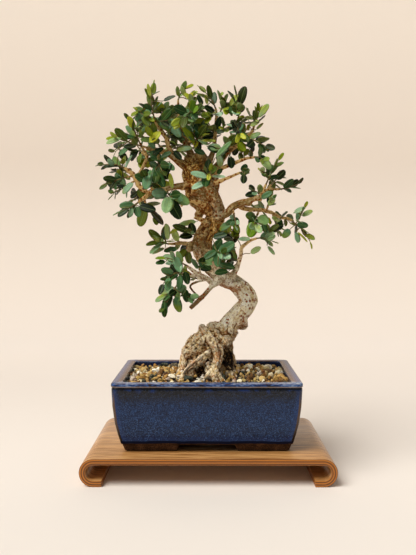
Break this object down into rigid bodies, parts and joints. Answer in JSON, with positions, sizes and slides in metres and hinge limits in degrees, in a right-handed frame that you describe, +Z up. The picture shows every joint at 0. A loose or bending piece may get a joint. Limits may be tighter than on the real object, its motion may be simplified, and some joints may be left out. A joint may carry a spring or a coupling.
{
  "type": "olive bonsai",
  "caption": "Small olive tree with a swept, burled trunk and leafy shoots, in a rectangular glazed pot of gravel on a low stand of bent plywood.",
  "frame": {"origin": "under the middle of the stand, on the surface that the stand rests on", "axes": "+Z up; +X to the right along the stand and the long side of the pot, seen from the front; +Y from the front to the back"},
  "size_m": [0.264, 0.164, 0.4296],
  "materials": {
    "bent_ply": "satin",
    "pot_glaze": "gloss",
    "mesh_plastic": "matte",
    "gravel": "matte",
    "bark": "matte",
    "leaf": "satin"
  },
  "bodies": {
    "root": {"stand": "bent_ply", "pot": "pot_glaze", "drain_mesh_left": "mesh_plastic", "drain_mesh_right": "mesh_plastic", "soil": "gravel", "trunk": "bark", "spray_tip_left": "leaf", "spray_tip_left_inner": "leaf", "spray_upper_left_a": "leaf", "spray_upper_left_b": "leaf", "spray_left_a": "leaf", "spray_left_b": "leaf", "spray_left_c": "leaf", "spray_left_d": "leaf", "spray_left_e": "leaf", "spray_mid_left_a": "leaf", "spray_mid_left_b": "leaf", "spray_mid_a": "leaf", "spray_mid_b": "leaf", "spray_top_b": "leaf", "spray_top_b_side": "leaf", "spray_top_b_front": "leaf", "spray_top_c": "leaf", "spray_top_c_side": "leaf", "spray_top_right_a": "leaf", "spray_top_right_b": "leaf", "spray_top_right_c": "leaf", "spray_top_right_d": "leaf", "spray_top_right_e": "leaf", "spray_top_right_f": "leaf", "spray_centre": "leaf", "spray_centre_right": "leaf", "spray_right_up_a": "leaf", "spray_right_up_c": "leaf", "spray_right_up_d": "leaf", "spray_right_a": "leaf", "spray_right_c": "leaf", "spray_right_d": "leaf", "spray_right_e": "leaf", "spray_under_right": "leaf", "spray_front_centre": "leaf", "spray_hook_end": "leaf", "spray_hook_back": "leaf", "spray_low_left_a": "leaf", "spray_low_left_b": "leaf", "spray_low_a": "leaf", "spray_low_b": "leaf", "spray_low_d": "leaf", "spray_low_c": "leaf", "spray_upper_left_back": "leaf", "spray_left_back": "leaf", "spray_left_back_low": "leaf", "spray_mid_left_back": "leaf", "spray_top_b_back": "leaf", "spray_top_right_back": "leaf", "spray_right_up_back": "leaf", "spray_right_back": "leaf", "spray_low_left_back": "leaf", "spray_low_back": "leaf"}
  },
  "joints": []
}
